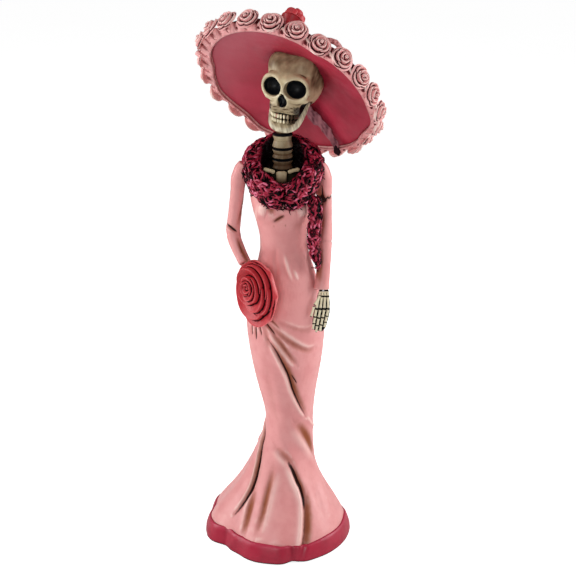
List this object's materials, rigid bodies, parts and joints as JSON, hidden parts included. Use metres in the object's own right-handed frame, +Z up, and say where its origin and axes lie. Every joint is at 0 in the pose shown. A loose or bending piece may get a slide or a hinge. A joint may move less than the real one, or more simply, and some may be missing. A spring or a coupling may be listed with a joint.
{
  "type": "skeleton lady figure",
  "caption": "Standing skeleton lady in a fitted mermaid gown with a rose at the hip, a feather boa and a wide tilted hat edged with roses.",
  "frame": {"origin": "centre of the underside of the felt pad", "axes": "+Z up, the figure faces -Y, the figure's left hand is on the +X side"},
  "size_m": [0.1341, 0.1216, 0.4076],
  "materials": {
    "gown": "satin-varnished pink paint with brown wash in the folds",
    "hem": "satin-varnished crimson paint",
    "hat_underside": "airbrushed crimson paint, satin",
    "hat_pink": "pale pink paint with dark red lines, satin",
    "red_rose": "red paint with dark red shading, satin",
    "bone": "ivory paint with a brown wash, satin",
    "dark_bone": "dark olive paint, matte",
    "newspaper": "bare rolled newspaper",
    "boa": "crimson feather fringe with dark and pink tips",
    "ribbon": "dusky grey-purple cloth",
    "felt": "black felt",
    "wood": "bare softwood",
    "steel": "bare steel"
  },
  "bodies": {
    "figure": {"base_felt": "felt", "base_board": "wood", "base_screw": "steel", "spine_post": "wood", "arm_wire": "steel", "paper_core": "newspaper", "gown_front": "gown", "gown_back": "gown", "hem_band": "hem", "chest_block": "dark_bone", "hip_rose_bud": "red_rose", "hip_rose_inner_petals": "red_rose", "hip_rose_outer_petals": "red_rose", "right_sleeve": "gown", "left_sleeve": "gown", "right_hand": "bone", "left_hand": "bone", "breastbone": "bone", "right_collar_bone": "bone", "left_collar_bone": "bone", "neck_bone_1": "bone", "neck_bone_2": "bone", "boa_collar": "boa", "boa_tail": "boa"},
    "neck_top": {"neck_bone_top": "bone"},
    "head": {"skull": "bone", "jaw": "bone", "upper_teeth": "bone", "lower_teeth": "bone", "hat_brim": "hat_underside", "hat_crown": "hat_pink", "hat_band": "hem", "brim_edging": "hem", "hat_rose": "red_rose", "hat_plume": "hat_pink", "hat_ribbon": "ribbon", "brim_rose_01": "hat_pink", "brim_rose_02": "hat_pink", "brim_rose_03": "hat_pink", "brim_rose_04": "hat_pink", "brim_rose_05": "hat_pink", "brim_rose_06": "hat_pink", "brim_rose_07": "hat_pink", "brim_rose_08": "hat_pink", "brim_rose_09": "hat_pink", "brim_rose_10": "hat_pink", "brim_rose_11": "hat_pink", "brim_rose_12": "hat_pink", "brim_rose_13": "hat_pink", "brim_rose_14": "hat_pink", "brim_rose_15": "hat_pink", "brim_rose_16": "hat_pink", "brim_rose_17": "hat_pink", "brim_rose_18": "hat_pink", "brim_rose_19": "hat_pink", "brim_rose_20": "hat_pink", "brim_rose_21": "hat_pink", "brim_rose_22": "hat_pink", "brim_rose_23": "hat_pink"}
  },
  "joints": [
    {"name": "head_turn", "type": "hinge", "parent": "figure", "child": "neck_top", "pos_m": [0.0042, -0.001, 0.31], "axis": [0, 0, 1], "continuous": true},
    {"name": "head_lift", "type": "slide", "parent": "neck_top", "child": "head", "axis": [0, 0, 1], "range_m": [0, 0.06]}
  ]
}
